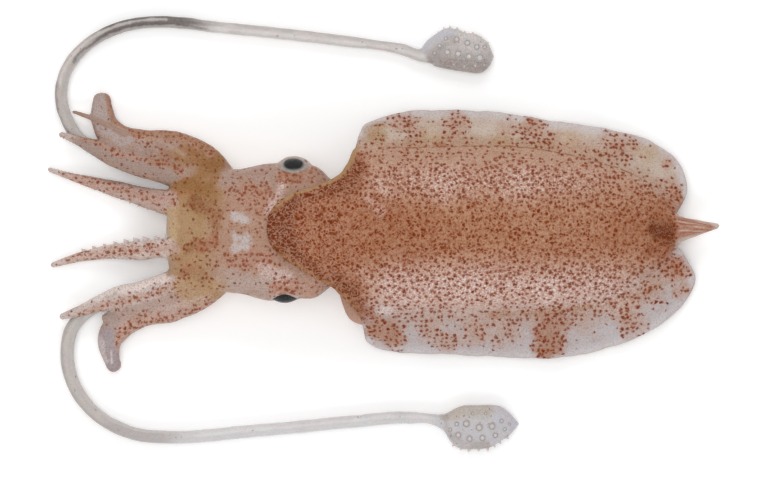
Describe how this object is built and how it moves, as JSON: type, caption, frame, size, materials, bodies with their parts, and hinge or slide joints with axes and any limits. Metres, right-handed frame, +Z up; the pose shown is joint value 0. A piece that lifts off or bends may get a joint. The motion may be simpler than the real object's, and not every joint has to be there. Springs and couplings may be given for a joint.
{
  "type": "whole raw cuttlefish",
  "caption": "Whole raw cuttlefish lying belly down, with spread fins, a short spine at the tail, curved arms and the two long tentacles laid back beside the body.",
  "frame": {"origin": "middle of the animal's outline seen from above, on the board that it lies on", "axes": "+X towards the tail, +Y towards the animal's right side, +Z up"},
  "size_m": [0.1512, 0.0973, 0.0197],
  "materials": {
    "flesh": "wet raw skin, fine red-brown spots over pale pink and grey flesh, slightly glossy",
    "eye": "wet and clear, a dark pupil in a silver-grey iris"
  },
  "bodies": {
    "root": {"cuttlefish": "flesh", "eye_right": "eye", "eye_left": "eye"}
  },
  "joints": []
}
